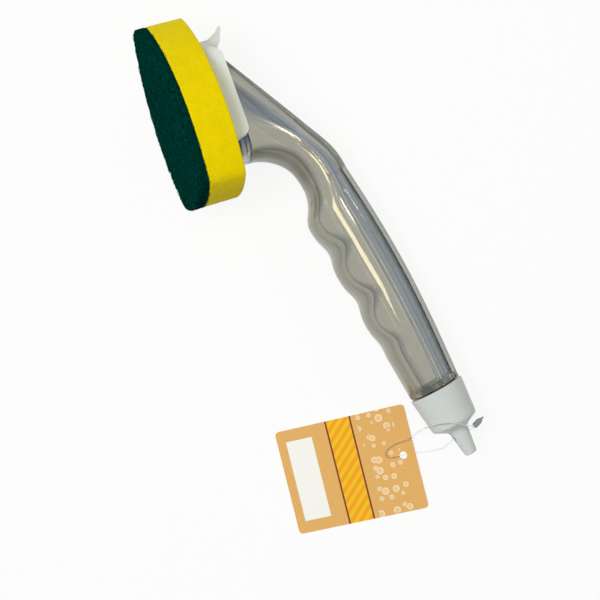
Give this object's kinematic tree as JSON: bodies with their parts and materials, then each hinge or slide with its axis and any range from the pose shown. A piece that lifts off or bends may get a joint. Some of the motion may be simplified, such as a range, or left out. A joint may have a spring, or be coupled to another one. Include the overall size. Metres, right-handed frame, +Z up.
{
  "type": "dish wand",
  "caption": "Dish wand with a hollow clear soap handle, a screw cap with a hanging tail, a slide-on scouring sponge head and a swing tag on a nylon loop, lying on its side.",
  "frame": {"origin": "on the table, under the middle of the wand's box without its swing tag", "axes": "+Z up from the table that the wand lies on, +X along the wand from the sponge's toe to the tip of the cap's tail, +Y towards the back of the handle"},
  "size_m": [0.2659, 0.1081, 0.0648],
  "materials": {
    "abrasive_pad": "matte fibre",
    "sponge_foam": "open-cell foam",
    "white_plastic": "satin",
    "clear_plastic": "clear",
    "clear_cover": "clear",
    "clear_foot": "clear",
    "seal_rubber": "matte",
    "tag_card": "matt board",
    "nylon": "translucent"
  },
  "bodies": {
    "handle": {"foot": "clear_foot", "handle_body": "clear_plastic", "back_cover": "clear_cover"},
    "head": {"head_holder": "white_plastic", "foam_block": "sponge_foam", "scour_pad": "abrasive_pad"},
    "cap_ring": {"cap_seal": "seal_rubber"},
    "cap": {"cap": "white_plastic", "hang_tag": "tag_card", "tag_loop": "nylon", "loop_lock": "nylon"}
  },
  "joints": [
    {"name": "head_slide", "type": "slide", "parent": "handle", "child": "head", "axis": [-0.9973, 0, -0.0732], "range_m": [0, 0.06]},
    {"name": "cap_rise", "type": "slide", "parent": "handle", "child": "cap_ring", "axis": [0.9887, 0.1498, 0.0032], "range_m": [0, 0.0192]},
    {"name": "cap_turn", "type": "hinge", "parent": "cap_ring", "child": "cap", "pos_m": [0.08685, 0.03681, 0.01394], "axis": [0.9887, 0.1498, 0.0032], "range_deg": [0, 2160]}
  ],
  "couplings": [
    {"joint": "cap_rise", "follows": "cap_turn", "m_per_rad": 0.00050929}
  ]
}
